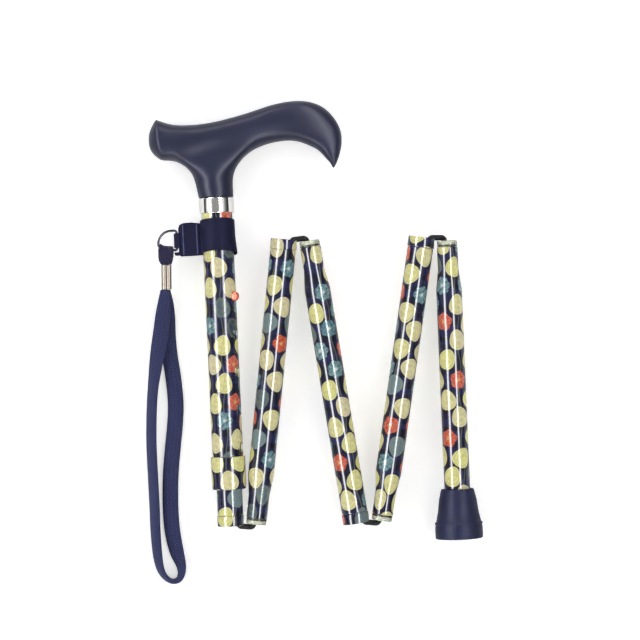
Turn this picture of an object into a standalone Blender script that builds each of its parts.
"""A folding walking cane with a derby handle, half unfolded in a zigzag as it lies on a table.

Every section has a frame of its own: Z runs up the section's axis towards the handle when the
cane is open, and Y points up from the table. Turning the four fold_link empties back to zero and
sliding each section in opens the cane.
"""

import math

import bmesh
import bpy
from mathutils import Matrix, Vector

# All sizes are in metres and all angles in degrees.

# Fits and fineness
GAP = 0.0003
MERGE = 0.00005
ROUND_STEPS = 32
INNER_STEPS = 24
SMALL_STEPS = 20
HOLE_STEPS = 12

# How the cane lies: the heading of the first section, and the angle left at each fold
FIRST_HEADING = 92.6
FOLD_ANGLES = (8.2, 15.1, 17.6, 10.5)

# Section tubes
TUBE_R = 0.00795
TUBE_BORE_R = 0.0067
NECK_WALL = 0.0011
NECK_LENGTH = 0.018
NECK_CONE = 0.012
SECTION_LENGTH = 0.1754
LAST_SECTION_LENGTH = 0.1826

# Mouth rings, and the fold's pivot line beside them
MOUTH_HEIGHT = 0.0062
MOUTH_STEP = 0.00032
PIVOT_INSET = 0.00062
PIVOT_BELOW_MOUTH = 0.00025
PIVOT_ABOVE_TIP = 0.0016

# Eyelets and gaskets in the necked ends
EYELET_INSET = 0.0002
EYELET_FLANGE = 0.0024
EYELET_LENGTH = 0.0100
EYELET_BORE_R = 0.00365
EYELET_LIP = 0.0006
GASKET_INSET = 0.0001
GASKET_THICKNESS = 0.0008

# Handle section
HANDLE_SECTION_LENGTH = 0.2014
SLIDE_FIT = 0.000375
OUTER_WALL = 0.0012
INNER_TUBE_TOP = 0.0400
HANDLE_COLLAR_HEIGHT = 0.0093
HANDLE_COLLAR_WALL = 0.000825
LOCK_COLLAR_ABOVE_MOUTH = 0.0225
LOCK_COLLAR_HEIGHT = 0.0200
LOCK_COLLAR_WALL = 0.000775
LOCK_COLLAR_LIP = 0.0020
LOCK_COLLAR_CHAMFER = 0.0006
LOCK_BUSH_HEIGHT = 0.0027

# Stud and plug under the handle
STUD_R = 0.0040
STUD_IN_HANDLE = 0.0280
STUD_IN_TUBE = 0.0200
PLUG_LENGTH = 0.0214

# Snap button and adjusting holes
BUTTON_DROP = 0.0610
BUTTON_AZIMUTH = 25.0
BUTTON_R = 0.0029
BUTTON_PROUD = 0.0029
BUTTON_DOME = 0.0025
BUTTON_FLANGE_R = 0.0042
BUTTON_FLANGE = 0.0012
HOLE_FIT = 0.00035
HOLE_COUNT = 5
HOLE_PITCH = 0.0231
SPRING_WIRE_R = 0.0006
SPRING_HEIGHT = 0.0180

# Shock cord, its anchors and its stops
CORD_R = 0.0016
CORD_IN_MOUTH = 0.0029
CORD_IN_TIP = 0.0062
CORD_CROWN = 0.0004
CORD_BEND_R = 0.0020
CORD_BEND_STEPS = 4
ELBOW_IN_MOUTH = 0.0080
ELBOW_IN_TIP = 0.0050
ANCHOR_HEIGHT = 0.0080
ANCHOR_BORE_R = 0.0023
TOP_ANCHOR_DROP = 0.0760
BOTTOM_ANCHOR_RISE = 0.0164
STOP_R = 0.0030
STOP_HEIGHT = 0.0050
STOP_BORE_R = 0.00185
CORD_TAIL = 0.0005

# Ferrule
FERRULE_HEIGHT = 0.0305
FERRULE_TOP_WALL = 0.0020
FERRULE_FOOT_R = 0.0146
FERRULE_BEAD_R = 0.0147
FERRULE_BEAD_RISE = 0.0094
FERRULE_BEAD_HALF = 0.0008
FERRULE_SOLE = 0.0050
FERRULE_ROUND = 0.0010
WASHER_THICKNESS = 0.0012
WASHER_BORE_R = 0.0030

# Strap band with its tab and hem
BAND_DROP = 0.0140
BAND_HEIGHT = 0.0204
BAND_WALL = 0.0009
TAB_THICKNESS = 0.0026
TAB_OUTLINE = (
    (0.0101, -0.0154), (0.0156, -0.0146), (0.0214, -0.0149), (0.0234, -0.0160),
    (0.0241, -0.0180), (0.0241, -0.0345), (0.0230, -0.0352), (0.0101, -0.0350),
)
HEM_LEFT = 0.0270
HEM_WIDTH = 0.0042
HEM_TOP = -0.0207
HEM_FOOT = -0.0346
HEM_THICKNESS = 0.0040
HEM_ROUND = 0.0008
HEM_SLOT = 0.0026

# Wire ring in the hem: a straight bar, a quarter circle and a lower leg
RING_WIRE_R = 0.00075
RING_FIT = 0.0003
RING_BAR = 0.0252
RING_TOP = -0.0191
RING_BOW_R = 0.0081
RING_BOW_MIDDLE = (0.0286, -0.0272)
RING_LEG_LEFT = (0.0362, -0.0288)
RING_LEG_RIGHT = (0.0272, -0.0312)

# Wrist cord: top loop, crimp and the flat loop for the hand
WRIST_PIVOT = (0.0320, -0.0299)
WRIST_HEADING = 90.0
WRIST_DROP = 13.0
TOP_LOOP_THICKNESS = 0.0060
TOP_LOOP_ROUND = 0.0012
CRIMP_TOP = -0.0099
CRIMP_LENGTH = 0.0155
CRIMP_LOBE_R = 0.0019
CRIMP_LOBE_OFFSET = 0.0012
FLAT_CORD_WIDTH = 0.0098
FLAT_CORD_THICKNESS = 0.0034
FLAT_CORD_SIDES = 10
FLAT_CORD_STEP = 0.0090

# Grip stations from the heel to the nose: forward and height of the crest, forward and height
# of the underside, and half the width. Forward is measured from the tube's axis, height from
# the neck's foot.
GRIP_HALF_WIDTH = 0.0146
GRIP_STATIONS = (
    (-0.0382, 0.0434, -0.0380, 0.0293, 0.0090),
    (-0.0346, 0.0493, -0.0325, 0.0242, GRIP_HALF_WIDTH),
    (-0.0251, 0.0459, -0.0255, 0.0234, GRIP_HALF_WIDTH),
    (-0.0140, 0.0451, -0.0195, 0.0208, GRIP_HALF_WIDTH),
    (0.0005, 0.0462, -0.0005, 0.0250, GRIP_HALF_WIDTH),
    (0.0205, 0.0506, 0.0182, 0.0242, 0.0138),
    (0.0337, 0.0544, 0.0302, 0.0305, 0.0132),
    (0.0445, 0.0565, 0.0435, 0.0328, 0.0127),
    (0.0550, 0.0568, 0.0525, 0.0317, 0.0122),
    (0.0655, 0.0539, 0.0590, 0.0289, 0.0112),
    (0.0733, 0.0471, 0.0643, 0.0256, 0.0096),
    (0.0783, 0.0366, 0.0683, 0.0209, 0.0074),
    (0.0774, 0.0247, 0.0713, 0.0173, 0.0044),
)
GRIP_HEEL = (-0.0398, 0.0366)
GRIP_NOSE = (0.0732, 0.0148)
GRIP_CORNER = 0.76
HEEL_STATION = 1
HEEL_CREASE = 0.55
NECK_STATION = 4

# Neck rings down to the foot: forward of the middle, half length, half width, height, corner
NECK_RINGS = (
    (-0.0012, 0.0134, 0.0123, 0.0155, 0.735),
    (-0.0007, 0.0114, 0.0112, 0.0080, 0.715),
    (0.0000, 0.0107, 0.0107, 0.0000, 0.7071),
)
GRIP_FIT_ROUNDS = 8

# What follows from the sizes above
NECK_R = TUBE_BORE_R - GAP
NECK_BORE_R = NECK_R - NECK_WALL
MOUTH_R = TUBE_R + MOUTH_STEP
SEAT_R = TUBE_BORE_R + MOUTH_HEIGHT * (TUBE_R - NECK_R) / NECK_CONE
PIVOT_OFFSET = MOUTH_R - PIVOT_INSET
GASKET_TOP = EYELET_FLANGE + GAP
TUBE_TOP = GASKET_TOP + GASKET_THICKNESS + GAP
OUTER_BORE_R = TUBE_R + SLIDE_FIT
OUTER_R = OUTER_BORE_R + OUTER_WALL
SLEEVE_BORE_R = OUTER_R + GAP
LOCK_COLLAR_END = HANDLE_SECTION_LENGTH - LOCK_COLLAR_ABOVE_MOUTH
BUSH_TOP = LOCK_COLLAR_END - LOCK_COLLAR_LIP - GAP - LOCK_BUSH_HEIGHT
OUTER_TUBE_END = BUSH_TOP - GAP
WASHER_TOP = LAST_SECTION_LENGTH - FERRULE_SOLE - GAP - WASHER_THICKNESS
LAST_TUBE_END = WASHER_TOP - GAP
HOLE_R = BUTTON_R + HOLE_FIT
STUD_BORE_R = STUD_R + GAP
CORD_MOUTH_X = PIVOT_OFFSET - CORD_IN_MOUTH
CORD_TIP_X = PIVOT_OFFSET - CORD_IN_TIP


# Scene helpers


def clear_scene():
    """Remove every object and collection that is in the scene."""
    for item in list(bpy.data.objects):
        bpy.data.objects.remove(item, do_unlink=True)
    for group in list(bpy.data.collections):
        bpy.data.collections.remove(group)


def new_collection(name):
    group = bpy.data.collections.new(name)
    bpy.context.scene.collection.children.link(group)
    return group


clear_scene()
PARTS = new_collection("walking_cane")
CUTTERS = new_collection("cutters")


def finish(name, colour, roughness, metallic=0.0):
    """A Principled material with one colour, given as red, green and blue from 0 to 1."""
    material = bpy.data.materials.new(name)
    material.use_nodes = True
    shader = material.node_tree.nodes["Principled BSDF"]
    shader.inputs["Base Color"].default_value = (*colour, 1.0)
    shader.inputs["Roughness"].default_value = roughness
    shader.inputs["Metallic"].default_value = metallic
    return material


SATIN_NAVY = finish("satin_navy_plastic", (0.042, 0.045, 0.090), 0.45)
PRINTED = finish("printed_tube", (0.25, 0.26, 0.16), 0.18)
NAVY_RUBBER = finish("navy_rubber", (0.048, 0.051, 0.120), 0.60)
NAVY_VINYL = finish("navy_vinyl", (0.020, 0.020, 0.062), 0.50)
NAVY_BRAID = finish("navy_braid", (0.044, 0.047, 0.120), 0.85)
BLACK_ELASTIC = finish("black_elastic", (0.010, 0.010, 0.012), 0.35)
BLACK_PLASTIC = finish("black_plastic", (0.015, 0.015, 0.018), 0.50)
CHROME = finish("chrome", (0.75, 0.75, 0.76), 0.08, 1.0)
SILVER = finish("nickel_plate", (0.66, 0.66, 0.62), 0.25, 1.0)
COPPER = finish("copper_button", (0.70, 0.20, 0.12), 0.30, 0.6)
STEEL = finish("spring_steel", (0.35, 0.35, 0.37), 0.35, 1.0)


def place(item, parent, material=None, location=(0, 0, 0), rotation=(0, 0, 0)):
    """Put an object among the parts, under its parent and in its finish."""
    PARTS.objects.link(item)
    item.parent = parent
    item.location = location
    item.rotation_euler = rotation
    if material:
        item.data.materials.append(material)
    return item


def frame(name, parent, location=(0, 0, 0), rotation=(0, 0, 0)):
    """An empty that carries a section or stands on a joint's axis."""
    empty = bpy.data.objects.new(name, None)
    empty.empty_display_size = 0.01
    return place(empty, parent, None, location, rotation)


def hide(cutter):
    """Turn an object into a cutter that neither shows nor counts as a piece."""
    for group in list(cutter.users_collection):
        group.objects.unlink(cutter)
    CUTTERS.objects.link(cutter)
    cutter.hide_render = True
    cutter.display_type = "WIRE"
    return cutter


def combine(item, cutter, operation="DIFFERENCE"):
    """Cut or join an object with another one, which becomes a hidden cutter."""
    boolean = item.modifiers.new(cutter.name, "BOOLEAN")
    boolean.operation = operation
    boolean.solver = "EXACT"
    boolean.object = hide(cutter)
    return item


def mesh_object(name, fill):
    """A mesh object whose mesh is filled by a function that is given an empty bmesh."""
    mesh = bpy.data.meshes.new(name)
    shape = bmesh.new()
    fill(shape)
    bmesh.ops.recalc_face_normals(shape, faces=shape.faces)
    shape.to_mesh(mesh)
    shape.free()
    return bpy.data.objects.new(name, mesh)


def turned(name, profile, parent, material, steps=ROUND_STEPS, **placing):
    """A turned piece. Its closed profile of radius and height runs down the outer side first."""
    mesh = bpy.data.meshes.new(name)
    corners = [(radius, 0.0, height) for radius, height in profile]
    following = [*range(1, len(corners)), 0]
    links = [(a, b) for a, b in enumerate(following) if corners[a][0] or corners[b][0]]
    mesh.from_pydata(corners, links, [])
    item = bpy.data.objects.new(name, mesh)
    screw = item.modifiers.new("turn", "SCREW")
    screw.axis = "Z"
    screw.angle = math.tau
    screw.steps = steps
    screw.render_steps = steps
    screw.use_merge_vertices = True
    screw.merge_threshold = MERGE
    return place(item, parent, material, **placing)


def ring_profile(outer, inner, top, foot, chamfer=0.0):
    """The profile of a plain ring whose outer edges may be chamfered."""
    if not chamfer:
        return [(inner, top), (outer, top), (outer, foot), (inner, foot)]
    return [
        (inner, top), (outer - chamfer, top), (outer, top - chamfer),
        (outer, foot + chamfer), (outer - chamfer, foot), (inner, foot),
    ]


def rod_cutter(name, radius, start, end, parent, steps=SMALL_STEPS):
    """A cylinder between two points of the parent's frame."""
    start, end = Vector(start), Vector(end)
    along = end - start

    def fill(shape):
        bmesh.ops.create_cone(
            shape, cap_ends=True, segments=steps, radius1=radius, radius2=radius,
            depth=along.length,
        )

    turn = along.to_track_quat("Z", "Y").to_euler()
    return place(mesh_object(name, fill), parent, None, (start + end) / 2, turn)


def box_piece(name, low, high, parent):
    """A box between two corners of the parent's frame."""
    low, high = Vector(low), Vector(high)

    def fill(shape):
        bmesh.ops.create_cube(shape, size=1.0)
        bmesh.ops.scale(shape, verts=shape.verts, vec=high - low)

    return place(mesh_object(name, fill), parent, None, (low + high) / 2)


def cord(name, points, radius, parent, material, closed=False):
    """A round cord or wire along the points."""
    data = bpy.data.curves.new(name, "CURVE")
    data.dimensions = "3D"
    spline = data.splines.new("POLY")
    spline.points.add(len(points) - 1)
    for target, point in zip(spline.points, points):
        target.co = (*point, 1.0)
    spline.use_cyclic_u = closed
    data.bevel_depth = radius
    data.bevel_resolution = 2
    data.use_fill_caps = True
    return place(bpy.data.objects.new(name, data), parent, material)


def outline_piece(name, outline, thickness, parent):
    """A flat piece in the XZ plane of the parent's frame, from its outline of x and z."""
    data = bpy.data.curves.new(name, "CURVE")
    data.dimensions = "2D"
    data.fill_mode = "BOTH"
    data.extrude = thickness / 2
    spline = data.splines.new("POLY")
    spline.points.add(len(outline) - 1)
    for target, (across, up) in zip(spline.points, outline):
        target.co = (across, up, 0.0, 1.0)
    spline.use_cyclic_u = True
    item = bpy.data.objects.new(name, data)
    return place(item, parent, None, (0, 0, 0), (math.radians(90), 0, 0))


def as_mesh(item):
    """Make a curve object a mesh object in the same place, with its caps welded."""
    bpy.context.view_layer.update()
    evaluated = item.evaluated_get(bpy.context.evaluated_depsgraph_get())
    mesh = bpy.data.meshes.new_from_object(evaluated)
    shape = bmesh.new()
    shape.from_mesh(mesh)
    bmesh.ops.remove_doubles(shape, verts=shape.verts, dist=MERGE)
    bmesh.ops.recalc_face_normals(shape, faces=shape.faces)
    shape.to_mesh(mesh)
    shape.free()
    name = item.name
    item.name = name + "_curve"
    solid = bpy.data.objects.new(name, mesh)
    PARTS.objects.link(solid)
    solid.parent = item.parent
    solid.matrix_world = item.matrix_world.copy()
    bpy.data.objects.remove(item, do_unlink=True)
    return solid


def arc(middle, radius, start, end, steps):
    """Points on an arc in a plane, with angles in degrees."""
    points = []
    for step in range(steps + 1):
        angle = math.radians(start + (end - start) * step / steps)
        points.append((middle[0] + radius * math.cos(angle), middle[1] + radius * math.sin(angle)))
    return points


# Handle section


def grip_ring(station):
    """Eight points round the grip at one station, from the crest round to the underside."""
    crest_forward, crest_height, under_forward, under_height, half_width = station
    crest = Vector((-crest_forward, 0, crest_height))
    under = Vector((-under_forward, 0, under_height))
    middle = (crest + under) / 2
    up = (crest - under) / 2
    out = Vector((0, half_width, 0))
    corner = GRIP_CORNER
    return [
        middle + up, middle + corner * (up + out), middle + out, middle + corner * (out - up),
        middle - up, middle - corner * (up + out), middle - out, middle + corner * (up - out),
    ]


def neck_ring(forward, half_length, half_width, height, corner):
    """Eight points round the neck, from the heel side's right corner round to the right side."""
    turns = (
        (1, 1), (1, 0), (1, -1), (0, -1), (-1, -1), (-1, 0), (-1, 1), (0, 1),
    )
    points = []
    for back, right in turns:
        reach = corner if back and right else 1.0
        points.append(Vector((
            -forward + back * reach * half_length, right * reach * half_width, height,
        )))
    return points


def quads_to_middle(shape, ring, middle):
    """Close a ring of eight with four faces that meet in the middle."""
    for start in range(0, 8, 2):
        shape.faces.new((ring[start], ring[start + 1], ring[(start + 2) % 8], middle))


def fill_grip(shape):
    """The coarse cage of the grip and its neck."""
    rings = [[shape.verts.new(point) for point in grip_ring(s)] for s in GRIP_STATIONS]
    heel = shape.verts.new((-GRIP_HEEL[0], 0, GRIP_HEEL[1]))
    nose = shape.verts.new((-GRIP_NOSE[0], 0, GRIP_NOSE[1]))
    quads_to_middle(shape, rings[0], heel)
    quads_to_middle(shape, rings[-1], nose)
    for index, (ring, following) in enumerate(zip(rings, rings[1:])):
        beside_neck = index in (NECK_STATION - 1, NECK_STATION)
        for side in range(8):
            if beside_neck and side in (3, 4):
                continue
            after = (side + 1) % 8
            shape.faces.new((ring[side], ring[after], following[after], following[side]))
    back, middle, front = rings[NECK_STATION - 1:NECK_STATION + 2]
    loop = [back[3], back[4], back[5], middle[5], front[5], front[4], front[3], middle[3]]
    shape.verts.remove(middle[4])
    for values in NECK_RINGS:
        ring = [shape.verts.new(point) for point in neck_ring(*values)]
        for side in range(8):
            after = (side + 1) % 8
            shape.faces.new((loop[side], loop[after], ring[after], ring[side]))
        loop = ring
    foot = shape.verts.new((-NECK_RINGS[-1][0], 0, NECK_RINGS[-1][3]))
    quads_to_middle(shape, loop, foot)
    crease = shape.edges.layers.float.new("crease_edge")
    for ring, sharpness in ((rings[HEEL_STATION], HEEL_CREASE), (loop, 1.0)):
        for edge in shape.edges:
            if edge.verts[0] in ring and edge.verts[1] in ring:
                edge[crease] = sharpness


def fit_cage(item):
    """Move a cage's points until the subdivided surface passes where they stood at first."""
    targets = [vertex.co.copy() for vertex in item.data.vertices]
    for _ in range(GRIP_FIT_ROUNDS):
        bpy.context.view_layer.update()
        surface = item.evaluated_get(bpy.context.evaluated_depsgraph_get()).data
        reached = [surface.vertices[index].co.copy() for index in range(len(targets))]
        for vertex, target, point in zip(item.data.vertices, targets, reached):
            vertex.co += target - point
        item.data.update()


def make_handle(section):
    handle = place(mesh_object("handle", fill_grip), section, SATIN_NAVY)
    handle.data.shade_smooth()
    smooth = handle.modifiers.new("smooth", "SUBSURF")
    smooth.levels = 2
    smooth.render_levels = 2
    fit_cage(handle)
    bore = rod_cutter(
        "handle_bore", STUD_BORE_R, (0, 0, -STUD_R), (0, 0, STUD_IN_HANDLE + GAP), section
    )
    combine(handle, bore)


def make_head(section):
    """The chromed collar, the stud, the plug and the outer tube."""
    collar_r = SLEEVE_BORE_R + HANDLE_COLLAR_WALL
    turned(
        "handle_collar",
        ring_profile(collar_r, SLEEVE_BORE_R, -GAP, -GAP - HANDLE_COLLAR_HEIGHT, GAP),
        section, CHROME,
    )
    turned(
        "handle_stud",
        [
            (0, STUD_IN_HANDLE), (STUD_R - GAP, STUD_IN_HANDLE), (STUD_R, STUD_IN_HANDLE - GAP),
            (STUD_R, GAP - STUD_IN_TUBE), (STUD_R - GAP, -STUD_IN_TUBE), (0, -STUD_IN_TUBE),
        ],
        section, STEEL, SMALL_STEPS,
    )
    turned(
        "tube_plug",
        ring_profile(OUTER_BORE_R - GAP, STUD_BORE_R, -2 * GAP, -2 * GAP - PLUG_LENGTH, GAP),
        section, BLACK_PLASTIC, INNER_STEPS,
    )
    outer_tube = turned(
        "outer_tube", ring_profile(OUTER_R, OUTER_BORE_R, -GAP, -OUTER_TUBE_END), section, PRINTED
    )
    combine(outer_tube, hole_cutter("adjusting_holes", OUTER_R + 2 * GAP, HOLE_COUNT, section))


def button_direction():
    """The way the button faces: right of the tube and a little up from the table."""
    angle = math.radians(BUTTON_AZIMUTH)
    return Vector((-math.cos(angle), math.sin(angle), 0))


def hole_cutter(name, reach, count, section):
    """The drills for one or more holes in the row, joined in one cutter."""
    direction = button_direction()
    turn = direction.to_track_quat("Z", "Y").to_matrix().to_4x4()

    def fill(shape):
        for index in range(count):
            drop = BUTTON_DROP + index * HOLE_PITCH
            spot = Matrix.Translation(direction * reach / 2 + Vector((0, 0, -drop)))
            bmesh.ops.create_cone(
                shape, cap_ends=True, segments=HOLE_STEPS, radius1=HOLE_R, radius2=HOLE_R,
                depth=reach, matrix=spot @ turn,
            )

    return place(mesh_object(name, fill), section)


def make_lock(section):
    """The bush and the screw collar at the outer tube's foot."""
    turned(
        "lock_bush",
        ring_profile(
            OUTER_R, TUBE_R + SLIDE_FIT - GAP / 3, -BUSH_TOP, -BUSH_TOP - LOCK_BUSH_HEIGHT
        ),
        section, BLACK_PLASTIC,
    )
    collar_r = SLEEVE_BORE_R + LOCK_COLLAR_WALL
    top = LOCK_COLLAR_HEIGHT
    chamfer = LOCK_COLLAR_CHAMFER
    lip_bore = TUBE_R + GAP
    profile = [
        (SLEEVE_BORE_R, top), (collar_r - chamfer / 2, top), (collar_r, top - chamfer / 2),
        (collar_r, 2 * chamfer), (collar_r - chamfer, 0), (lip_bore, 0),
        (lip_bore, LOCK_COLLAR_LIP), (SLEEVE_BORE_R, LOCK_COLLAR_LIP),
    ]
    turned("lock_collar", profile, section, PRINTED, location=(0, 0, -LOCK_COLLAR_END))


def make_inner_section(section):
    """The sliding tube, what it carries inside and the button."""
    mouth_top = HANDLE_SECTION_LENGTH - MOUTH_HEIGHT
    inner_tube = turned(
        "inner_tube",
        ring_profile(TUBE_R, TUBE_BORE_R, -INNER_TUBE_TOP, -mouth_top + GAP),
        section, PRINTED,
    )
    combine(inner_tube, hole_cutter("button_hole", TUBE_R + 2 * GAP, 1, section))
    make_mouth(1, section, HANDLE_SECTION_LENGTH)
    make_button(section)
    make_anchor("top", section, -TOP_ANCHOR_DROP, 1)
    start = -TOP_ANCHOR_DROP + GAP + STOP_HEIGHT + CORD_TAIL
    make_shock_cord(1, section, (0, start), mouth_cord_end(1, HANDLE_SECTION_LENGTH))


def make_button(section):
    """The domed snap button, in one piece with the bent wire spring that pushes it out."""
    direction = button_direction()
    turn = direction.to_track_quat("Z", "Y").to_euler()
    flange_top = math.sqrt((TUBE_BORE_R - GAP) ** 2 - BUTTON_FLANGE_R ** 2)
    flange_foot = flange_top - BUTTON_FLANGE
    crown = OUTER_R + BUTTON_PROUD
    dome = [(0, crown)]
    for across, up in arc((0, 0), 1.0, 70, 0, 4):
        dome.append((BUTTON_R * across, crown - BUTTON_DOME * (1 - up)))
    profile = dome + [
        (BUTTON_R, flange_top), (BUTTON_FLANGE_R, flange_top), (BUTTON_FLANGE_R, flange_foot),
        (0, flange_foot),
    ]
    button = turned(
        "snap_button", profile, section, COPPER, SMALL_STEPS,
        location=(0, 0, -BUTTON_DROP), rotation=turn,
    )
    near = flange_foot - SPRING_WIRE_R / 2
    far = -(TUBE_BORE_R - GAP - SPRING_WIRE_R)
    waist = (near + far) / 2
    bend = 0.6 * (near - far) / 2
    legs = [(near, -SPRING_WIRE_R * 4), (near, BUTTON_R), (waist + 1.6 * bend, SPRING_HEIGHT / 2)]
    turn_points = arc((waist, SPRING_HEIGHT - bend), bend, 10, 170, 6)
    foot = [(waist - 1.6 * bend, SPRING_HEIGHT / 2), (far, BUTTON_R), (far, -SPRING_WIRE_R * 4)]
    route = [
        direction * out + Vector((0, 0, up - BUTTON_DROP)) for out, up in legs + turn_points + foot
    ]
    combine(button, as_mesh(cord("button_spring", route, SPRING_WIRE_R, section, STEEL)), "UNION")


# Folds


def fold_side(fold):
    """1 for the folds at a section's right and -1 for those at its left."""
    return 1 if fold % 2 else -1


def rest_turn(fold):
    """The matrix from the section above a fold to the one below it, about the pivot."""
    angle = fold_side(fold) * math.radians(180 - FOLD_ANGLES[fold - 1])
    return Matrix.Rotation(angle, 4, "Y")


def pivot_in_upper(fold, length):
    """Where a fold's pivot stands in the frame of the section above it."""
    return Vector((-fold_side(fold) * PIVOT_OFFSET, 0, -length - PIVOT_BELOW_MOUTH))


def tip_under_pivot(fold):
    """From a fold's pivot to the tip of the section below it."""
    return Vector((fold_side(fold) * PIVOT_OFFSET, 0, -PIVOT_ABOVE_TIP))


def mouth_cord_end(fold, length):
    """Where the run of cord above a fold stops, short of the elbow."""
    return (
        -fold_side(fold) * CORD_MOUTH_X,
        -length - PIVOT_BELOW_MOUTH + ELBOW_IN_MOUTH + GAP,
    )


def tip_cord_start(fold):
    """Where the run of cord below a fold starts, past the elbow."""
    return (-fold_side(fold) * CORD_TIP_X, PIVOT_ABOVE_TIP - ELBOW_IN_TIP - GAP)


def make_mouth(fold, section, length):
    """The ring at a section's lower end, its coned seat, cord notch and side relief."""
    ring = turned(
        f"mouth_ring_{fold}",
        [
            (TUBE_BORE_R, MOUTH_HEIGHT - length), (MOUTH_R, MOUTH_HEIGHT - length),
            (MOUTH_R, -length), (SEAT_R, -length),
        ],
        section, PRINTED,
    )
    pivot = pivot_in_upper(fold, length)
    side = fold_side(fold)
    crown = -length - PIVOT_BELOW_MOUTH - CORD_CROWN
    notch = rod_cutter(
        f"cord_notch_{fold}", CORD_R + CORD_CROWN, (-side * CORD_MOUTH_X, 0, crown),
        (-side * (MOUTH_R + MOUTH_STEP), 0, crown), section,
    )
    reach = 2 * MOUTH_HEIGHT
    turned_back = Matrix.Translation(pivot) @ rest_turn(fold)
    ends = [
        turned_back @ (tip_under_pivot(fold) + Vector((0, 0, along))) for along in (reach, -2 * reach)
    ]
    relief = rod_cutter(f"fold_relief_{fold}", TUBE_R + GAP, *ends, section, 2 * ROUND_STEPS)
    combine(combine(ring, notch), relief)


def elbow_route(fold):
    """The cord's centre line round a fold, in the frame of the section below it."""
    side = fold_side(fold)
    tilt = math.radians(FOLD_ANGLES[fold - 1])
    bend = CORD_BEND_R
    upper = [(-CORD_IN_MOUTH, -ELBOW_IN_MOUTH)]
    upper += arc((-CORD_CROWN + 0.00008, CORD_CROWN - bend), bend, 180, 90, CORD_BEND_STEPS)
    lower = arc((CORD_IN_TIP - bend - 0.0002, CORD_CROWN - bend), bend, 90, 0, CORD_BEND_STEPS)
    lower += [(CORD_IN_TIP, -ELBOW_IN_TIP)]
    route = []
    for across, out in upper:
        turned_across = across * math.cos(tilt) + out * math.sin(tilt)
        turned_out = out * math.cos(tilt) - across * math.sin(tilt)
        route.append((side * turned_across, 0, turned_out))
    route += [(side * across, 0, out) for across, out in lower]
    return route


def make_fold(fold, upper, length):
    """The pivot of a fold, its elbow of cord and the frame of the section below."""
    pivot = pivot_in_upper(fold, length)
    link = frame(f"fold_link_{fold}", upper, pivot, rest_turn(fold).to_euler())
    cord(f"cord_elbow_{fold}", elbow_route(fold), CORD_R, link, BLACK_ELASTIC)
    return frame(f"section_{fold + 1}", link, tip_under_pivot(fold))


# Lower sections


def make_tip(number, section):
    """The silver eyelet and the black gasket in a section's necked end."""
    barrel_r = NECK_BORE_R - GAP
    flange_r = NECK_R - EYELET_INSET
    lip = EYELET_LIP
    profile = [
        (EYELET_BORE_R, -lip), (EYELET_BORE_R + lip, 0), (flange_r - lip, 0), (flange_r, -lip),
        (flange_r, -EYELET_FLANGE), (barrel_r, -EYELET_FLANGE), (barrel_r, -EYELET_LENGTH),
        (EYELET_BORE_R, -EYELET_LENGTH),
    ]
    turned(f"tip_eyelet_{number}", profile, section, SILVER, INNER_STEPS)
    turned(
        f"tip_gasket_{number}",
        ring_profile(
            NECK_R - GASKET_INSET, NECK_BORE_R, -GASKET_TOP, -GASKET_TOP - GASKET_THICKNESS
        ),
        section, BLACK_PLASTIC, INNER_STEPS,
    )


def make_tube(number, section, end):
    """A printed tube whose upper end is necked to fit the mouth above it."""
    cone_foot = NECK_LENGTH + NECK_CONE
    profile = [
        (NECK_BORE_R, -TUBE_TOP), (NECK_R - GAP, -TUBE_TOP), (NECK_R, -TUBE_TOP - GAP),
        (NECK_R, -NECK_LENGTH), (TUBE_R, -cone_foot), (TUBE_R, -end),
        (TUBE_BORE_R, -end), (TUBE_BORE_R, -cone_foot), (NECK_BORE_R, -NECK_LENGTH),
    ]
    return turned(f"tube_{number}", profile, section, PRINTED)


def make_shock_cord(number, section, start, end):
    """The taut run of cord inside a section, between two points of x and z."""
    points = [(start[0], 0, start[1]), (end[0], 0, end[1])]
    cord(f"shock_cord_{number}", points, CORD_R, section, BLACK_ELASTIC)


def make_anchor(which, section, face, above):
    """A plug that holds the cord's end in a tube, with the crimped stop on its far side."""
    low, high = (face - ANCHOR_HEIGHT, face) if above > 0 else (face, face + ANCHOR_HEIGHT)
    turned(
        f"cord_anchor_{which}",
        ring_profile(TUBE_BORE_R - GAP, ANCHOR_BORE_R, high, low, GAP),
        section, BLACK_PLASTIC, SMALL_STEPS,
    )
    stop_low = face + GAP if above > 0 else face - GAP - STOP_HEIGHT
    turned(
        f"cord_stop_{which}",
        ring_profile(STOP_R, STOP_BORE_R, stop_low + STOP_HEIGHT, stop_low, GAP),
        section, STEEL, SMALL_STEPS,
    )


def make_middle_section(number, section):
    end = SECTION_LENGTH - MOUTH_HEIGHT - GAP
    make_tip(number, section)
    make_tube(number, section, end)
    make_mouth(number, section, SECTION_LENGTH)
    make_shock_cord(
        number, section, tip_cord_start(number - 1), mouth_cord_end(number, SECTION_LENGTH)
    )


def ferrule_profile():
    """From the rounded top edge down the cone, over the bead and round the foot."""
    foot = -LAST_SECTION_LENGTH
    top = foot + FERRULE_HEIGHT
    bore = TUBE_R + GAP
    top_r = bore + FERRULE_TOP_WALL
    bead = foot + FERRULE_BEAD_RISE
    half = FERRULE_BEAD_HALF
    soft = FERRULE_ROUND
    profile = [(bore, top)]
    profile += arc((top_r - soft, top - soft), soft, 90, 10, 3)
    profile += [(FERRULE_FOOT_R, bead + half)]
    profile += arc((FERRULE_BEAD_R - half, bead), half, 60, -60, 3)
    profile += [(FERRULE_FOOT_R, bead - half)]
    profile += arc((FERRULE_FOOT_R - soft, foot + soft), soft, 0, -90, 3)
    profile += [(0, foot), (0, foot + FERRULE_SOLE), (bore, foot + FERRULE_SOLE)]
    return profile


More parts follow.
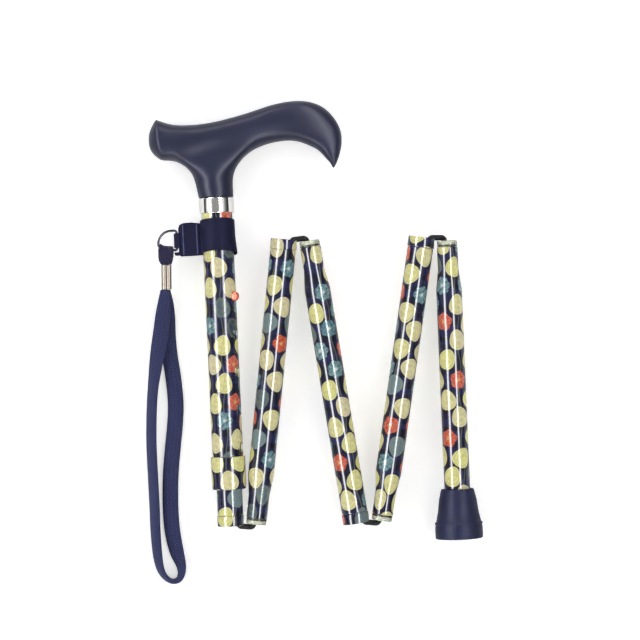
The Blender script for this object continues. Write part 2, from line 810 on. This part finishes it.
def make_last_section(section):
    """The last tube, the end of the cord, the washer and the rubber foot."""
    make_tip(5, section)
    make_tube(5, section, LAST_TUBE_END)
    anchor_foot = BOTTOM_ANCHOR_RISE - LAST_SECTION_LENGTH
    make_anchor("bottom", section, anchor_foot, -1)
    end = anchor_foot - GAP - STOP_HEIGHT - CORD_TAIL
    make_shock_cord(5, section, tip_cord_start(4), (0, end))
    turned(
        "ferrule_washer",
        ring_profile(TUBE_R, WASHER_BORE_R, -WASHER_TOP, -WASHER_TOP - WASHER_THICKNESS),
        section, STEEL, INNER_STEPS,
    )
    turned("ferrule", ferrule_profile(), section, NAVY_RUBBER)


# Wrist strap


def ring_route():
    """The wire ring's centre line, once round from the foot of its bar."""
    lower = arc(RING_BOW_MIDDLE, RING_BOW_R, 90, -6, 9)
    corner = 2 * RING_WIRE_R
    return [
        (RING_BAR, RING_LEG_RIGHT[1] + corner), (RING_BAR, RING_TOP - corner),
        (RING_BAR + corner / 3, RING_TOP - corner / 3), (RING_BAR + corner, RING_TOP),
        *lower, RING_LEG_LEFT, RING_LEG_RIGHT,
        (RING_BAR + corner / 2, RING_LEG_RIGHT[1] + corner / 6),
    ]


def ring_wire(name, radius, parent, origin, material):
    points = [(x - origin[0], 0, z - origin[2]) for x, z in ring_route()]
    wire = cord(name, points, radius, parent, material, closed=True)
    wire.location = origin
    return wire


def make_strap_band(section):
    """The vinyl band round the tube, its tab and the hem that holds the ring."""
    band = turned(
        "strap_band",
        ring_profile(
            SLEEVE_BORE_R + BAND_WALL, SLEEVE_BORE_R, -BAND_DROP, -BAND_DROP - BAND_HEIGHT
        ),
        section, NAVY_VINYL,
    )
    tab = as_mesh(outline_piece("strap_tab", TAB_OUTLINE, TAB_THICKNESS, section))
    half = HEM_THICKNESS / 2
    hem = box_piece(
        "strap_hem", (HEM_LEFT - HEM_WIDTH, -half, HEM_FOOT), (HEM_LEFT, half, HEM_TOP), section
    )
    bevel = hem.modifiers.new("round", "BEVEL")
    bevel.width = HEM_ROUND
    bevel.segments = 2
    leg = RING_LEG_RIGHT[1]
    slot_end = RING_BAR - RING_WIRE_R - RING_FIT
    slot = box_piece(
        "hem_slot", (slot_end, -HEM_THICKNESS, leg - HEM_SLOT / 2),
        (HEM_LEFT + HEM_WIDTH, HEM_THICKNESS, leg + HEM_SLOT / 2), section,
    )
    bar = (RING_BAR, 0, (RING_TOP + leg) / 2)
    bore = as_mesh(ring_wire("ring_bore", RING_WIRE_R + RING_FIT, section, bar, None))
    combine(band, tab, "UNION")
    combine(band, hem, "UNION")
    combine(band, slot)
    combine(band, bore)
    return bar


def top_loop_outline():
    """The fabric loop that folds over the ring's lower leg, in x and z of the wrist frame."""
    return (
        (0.0041, 0.0030), (0.0016, 0.0016), (-0.0044, 0.0012), (-0.0043, -0.0060),
        (-0.0034, -0.0096), (0.0034, -0.0096), (0.0052, -0.0050), (0.0052, -0.0005),
    )


def make_wrist_cord(ring, section, bar):
    """The fabric loop on the ring, the metal crimp and the flat loop for the hand."""
    pivot = Vector((WRIST_PIVOT[0], 0, WRIST_PIVOT[1])) - Vector(bar)
    turn = math.radians(WRIST_HEADING - FIRST_HEADING)
    wrist = frame("wrist_cord", ring, pivot, (0, turn, 0))
    drop = frame("wrist_drop", wrist, (0, 0, 0), (-math.radians(WRIST_DROP), 0, 0))
    top_loop = as_mesh(
        outline_piece("cord_top_loop", top_loop_outline(), TOP_LOOP_THICKNESS, drop)
    )
    top_loop.data.materials.append(NAVY_BRAID)
    bevel = top_loop.modifiers.new("round", "BEVEL")
    bevel.width = TOP_LOOP_ROUND
    bevel.segments = 2
    bore = as_mesh(ring_wire("loop_bore", RING_WIRE_R + RING_FIT, ring, (0, 0, 0), None))
    shift = Matrix.Translation(-Vector(bar))
    bore.data.transform(shift)
    combine(top_loop, bore)
    make_crimp(drop)
    make_wrist_loop(wrist)


def make_crimp(drop):
    foot = CRIMP_TOP - CRIMP_LENGTH

    def lobe(name, across, material):
        return turned(
            name,
            [
                (0, CRIMP_TOP), (CRIMP_LOBE_R - GAP, CRIMP_TOP), (CRIMP_LOBE_R, CRIMP_TOP - GAP),
                (CRIMP_LOBE_R, foot + GAP), (CRIMP_LOBE_R - GAP, foot), (0, foot),
            ],
            drop, material, SMALL_STEPS, location=(across, 0, 0),
        )

    crimp = lobe("crimp_ferrule", CRIMP_LOBE_OFFSET, SILVER)
    combine(crimp, lobe("crimp_lobe", -CRIMP_LOBE_OFFSET, None), "UNION")


# The wrist loop's route, from the crimp down the right strand and up the left one: right of the
# pivot, height above the table, below the pivot, tilt in degrees and share of the full section
WRIST_ROUTE = (
    (-0.0007, 0.0078, 0.0250, 0, 0.58), (0.0000, 0.0050, 0.0340, 0, 0.85),
    (0.0001, 0.0029, 0.0430, 0, 1.0), (0.0004, 0.0020, 0.0535, 0, 1.0),
    (0.0016, 0.0019, 0.0660, 0, 1.0), (0.0038, 0.0019, 0.0800, 0, 1.0),
    (0.0052, 0.0019, 0.0950, 0, 1.0), (0.0048, 0.0019, 0.1080, 0, 1.0),
    (0.0034, 0.0019, 0.1230, 0, 1.0), (0.0021, 0.0019, 0.1400, 0, 1.0),
    (0.0020, 0.0019, 0.1590, 0, 1.0), (0.0032, 0.0021, 0.1740, 12, 1.0),
    (0.0058, 0.0035, 0.1860, 45, 1.0), (0.0080, 0.0048, 0.1935, 78, 1.0),
    (0.0084, 0.0051, 0.1985, 88, 0.95), (0.0066, 0.0051, 0.2024, 90, 0.92),
    (0.0030, 0.0051, 0.2034, 92, 0.95), (-0.0008, 0.0050, 0.2014, 98, 1.0),
    (-0.0040, 0.0049, 0.1968, 108, 1.0), (-0.0058, 0.0047, 0.1890, 116, 1.0),
    (-0.0070, 0.0046, 0.1740, 120, 1.0), (-0.0075, 0.0046, 0.1590, 120, 1.0),
    (-0.0085, 0.0046, 0.1400, 120, 1.0), (-0.0094, 0.0046, 0.1210, 120, 1.0),
    (-0.0094, 0.0046, 0.1040, 120, 1.0), (-0.0089, 0.0047, 0.0900, 122, 1.0),
    (-0.0080, 0.0051, 0.0800, 130, 1.0), (-0.0065, 0.0058, 0.0690, 150, 1.0),
    (-0.0049, 0.0062, 0.0590, 168, 1.0), (-0.0034, 0.0070, 0.0500, 178, 1.0),
    (-0.0024, 0.0082, 0.0410, 180, 0.95), (-0.0015, 0.0093, 0.0330, 180, 0.80),
    (-0.0009, 0.0101, 0.0254, 180, 0.58),
)


def blend_points(before, start, end, after, share):
    """A point on the smooth curve through four route points, between the middle two."""
    values = []
    for a, b, c, d in zip(before, start, end, after):
        slope_in, slope_out = (c - a) / 2, (d - b) / 2
        rise = c - b
        values.append(
            b + slope_in * share + (3 * rise - 2 * slope_in - slope_out) * share ** 2
            + (slope_in + slope_out - 2 * rise) * share ** 3
        )
    return values


def smooth_route(route, step):
    """Points about a step apart along the smooth curve through a route."""
    ends = [route[0], *route, route[-1]]
    fine = []
    for before, start, end, after in zip(ends, ends[1:], ends[2:], ends[3:]):
        fine += [blend_points(before, start, end, after, share / 12) for share in range(12)]
    fine.append(list(route[-1]))
    lengths = [0.0]
    for start, end in zip(fine, fine[1:]):
        lengths.append(lengths[-1] + math.dist(start[:3], end[:3]))
    count = round(lengths[-1] / step)
    points, index = [], 0
    for number in range(count + 1):
        wanted = lengths[-1] * number / count
        while index < len(fine) - 2 and lengths[index + 1] < wanted:
            index += 1
        share = (wanted - lengths[index]) / (lengths[index + 1] - lengths[index])
        points.append([a + (b - a) * share for a, b in zip(fine[index], fine[index + 1])])
    return points


def flat_cord_section():
    """The cord's flattened round section, a curve that the loop's curve is beveled with."""
    data = bpy.data.curves.new("flat_cord_section", "CURVE")
    data.dimensions = "2D"
    spline = data.splines.new("POLY")
    spline.points.add(FLAT_CORD_SIDES - 1)
    for index, target in enumerate(spline.points):
        angle = -math.tau * index / FLAT_CORD_SIDES
        across = FLAT_CORD_WIDTH / 2 * math.cos(angle)
        up = FLAT_CORD_THICKNESS / 2 * math.sin(angle)
        target.co = (across, up, 0.0, 1.0)
    spline.use_cyclic_u = True
    return hide(place(bpy.data.objects.new("flat_cord_section", data), None))


def make_wrist_loop(wrist):
    """The flat loop, whose strands leave the crimp one on the other and meet at the bottom."""
    points = smooth_route(WRIST_ROUTE, FLAT_CORD_STEP)
    places = [
        (right, -below, height - GRIP_HALF_WIDTH) for right, height, below, tilt, share in points
    ]
    loop = cord("wrist_loop", places, 0.0, wrist, NAVY_BRAID)
    loop.rotation_euler = (math.radians(90), 0, math.radians(180))
    loop.data.twist_mode = "Z_UP"
    loop.data.bevel_mode = "OBJECT"
    loop.data.bevel_object = flat_cord_section()
    for target, (right, height, below, tilt, share) in zip(loop.data.splines[0].points, points):
        target.tilt = math.radians(tilt)
        target.radius = share


CORD_PIECES = ("cord_top_loop", "crimp_ferrule", "wrist_loop")


def stand_on_table(root):
    """Move the cane so that its box stands on the origin. The wrist cord isn't counted."""
    bpy.context.view_layer.update()
    depsgraph = bpy.context.evaluated_depsgraph_get()
    corners = []
    for item in PARTS.objects:
        if item.type == "EMPTY" or item.name in CORD_PIECES:
            continue
        mesh = item.evaluated_get(depsgraph).to_mesh()
        corners += [item.matrix_world @ vertex.co for vertex in mesh.vertices]
    low = Vector([min(corner[axis] for corner in corners) for axis in range(3)])
    high = Vector([max(corner[axis] for corner in corners) for axis in range(3)])
    root.location = (-(low.x + high.x) / 2, -(low.y + high.y) / 2, -low.z)


def section_rotation(heading):
    """The turn of a section whose axis lies on the table along a heading."""
    along = Vector((math.cos(math.radians(heading)), math.sin(math.radians(heading)), 0))
    up = Vector((0, 0, 1))
    return Matrix((up.cross(along), up, along)).transposed().to_euler()


def build():
    root = frame("cane", None)
    handle_section = frame("handle_section", root, (0, 0, 0), section_rotation(FIRST_HEADING))
    make_handle(handle_section)
    make_head(handle_section)
    make_lock(handle_section)
    inner_section = frame("inner_section", handle_section)
    make_inner_section(inner_section)
    section = make_fold(1, inner_section, HANDLE_SECTION_LENGTH)
    for number in (2, 3, 4):
        make_middle_section(number, section)
        section = make_fold(number, section, SECTION_LENGTH)
    make_last_section(section)
    bar = make_strap_band(handle_section)
    ring = ring_wire("strap_ring", RING_WIRE_R, handle_section, bar, STEEL)
    make_wrist_cord(ring, handle_section, bar)
    stand_on_table(root)
    bpy.context.view_layer.update()


build()
